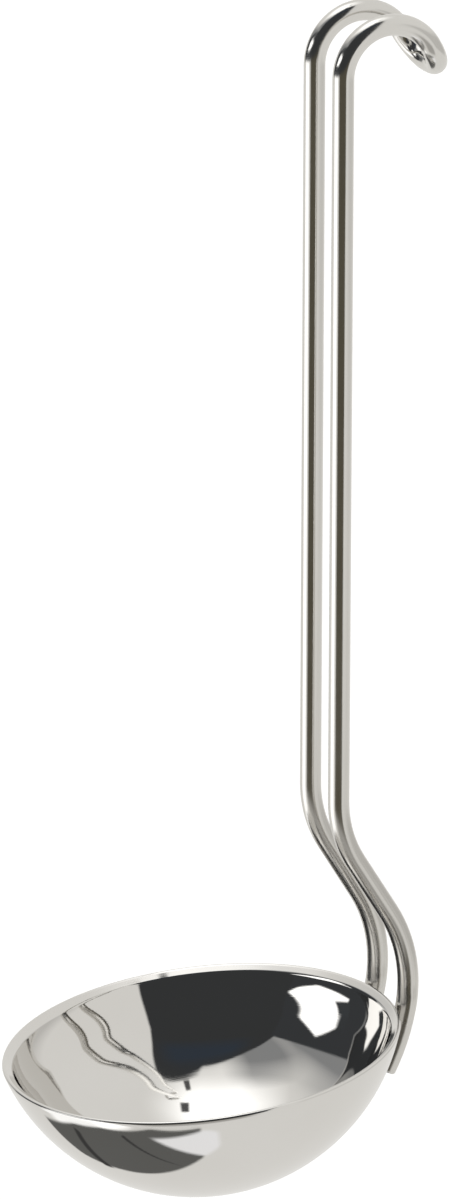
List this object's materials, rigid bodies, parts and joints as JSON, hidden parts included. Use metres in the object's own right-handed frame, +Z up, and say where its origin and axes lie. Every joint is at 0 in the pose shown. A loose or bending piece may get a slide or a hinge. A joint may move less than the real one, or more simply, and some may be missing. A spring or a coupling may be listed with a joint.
{
  "type": "wire-handled ladle",
  "caption": "Stainless steel soup ladle: round deep bowl welded to a long handle of wire bent double, with a hook at the top to hang it from a rail or pot rim.",
  "frame": {"origin": "inner crown of the hook, midway between the two legs of the wire, where the ladle hangs", "axes": "+Z up along the straight legs, +X away from the bowl towards the hook's tip, Y across the two legs"},
  "size_m": [0.104, 0.0922, 0.2746],
  "materials": {
    "bowl_steel": "polished stainless steel, mirror bright",
    "wire_steel": "polished drawn stainless wire",
    "weld_steel": "resistance weld, satin"
  },
  "bodies": {
    "root": {"bowl": "bowl_steel", "handle_wire": "wire_steel", "weld_far": "weld_steel", "weld_near": "weld_steel"}
  },
  "joints": []
}
